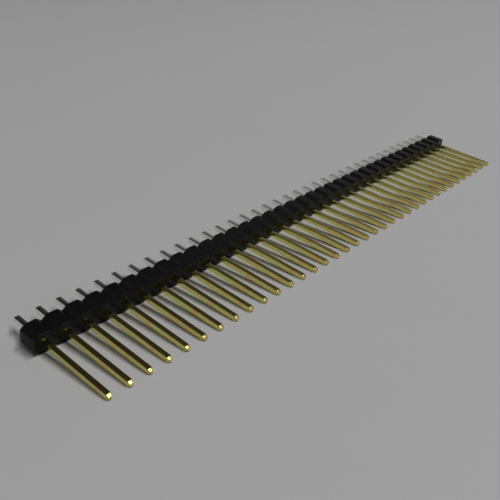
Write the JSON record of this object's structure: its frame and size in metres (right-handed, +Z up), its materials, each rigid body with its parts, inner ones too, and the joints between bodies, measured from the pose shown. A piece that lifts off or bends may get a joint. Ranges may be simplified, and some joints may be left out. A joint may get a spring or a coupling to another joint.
{
  "type": "pin header strip",
  "caption": "Single-row break-away pin header: a black scored plastic insulator with a row of square gold-plated pins, long mating ends on one side and short solder tails on the other.",
  "frame": {"origin": "centre of the bounding box in plan, on the surface that the strip lies on", "axes": "+X along the row of pins, -Y towards the long mating ends, +Y towards the short solder tails, +Z up"},
  "size_m": [0.0914, 0.0156, 0.0027],
  "materials": {
    "insulator": "moulded black thermoplastic, satin, with a faint sheen on the chamfers",
    "plated_pin": "drawn square wire, with thin gold plating on the mating end and bright tin on the solder tail"
  },
  "bodies": {
    "root": {"insulator": "insulator", "pin_01": "plated_pin", "pin_02": "plated_pin", "pin_03": "plated_pin", "pin_04": "plated_pin", "pin_05": "plated_pin", "pin_06": "plated_pin", "pin_07": "plated_pin", "pin_08": "plated_pin", "pin_09": "plated_pin", "pin_10": "plated_pin", "pin_11": "plated_pin", "pin_12": "plated_pin", "pin_13": "plated_pin", "pin_14": "plated_pin", "pin_15": "plated_pin", "pin_16": "plated_pin", "pin_17": "plated_pin", "pin_18": "plated_pin", "pin_19": "plated_pin", "pin_20": "plated_pin", "pin_21": "plated_pin", "pin_22": "plated_pin", "pin_23": "plated_pin", "pin_24": "plated_pin", "pin_25": "plated_pin", "pin_26": "plated_pin", "pin_27": "plated_pin", "pin_28": "plated_pin", "pin_29": "plated_pin", "pin_30": "plated_pin", "pin_31": "plated_pin", "pin_32": "plated_pin", "pin_33": "plated_pin", "pin_34": "plated_pin", "pin_35": "plated_pin", "pin_36": "plated_pin"}
  },
  "joints": []
}
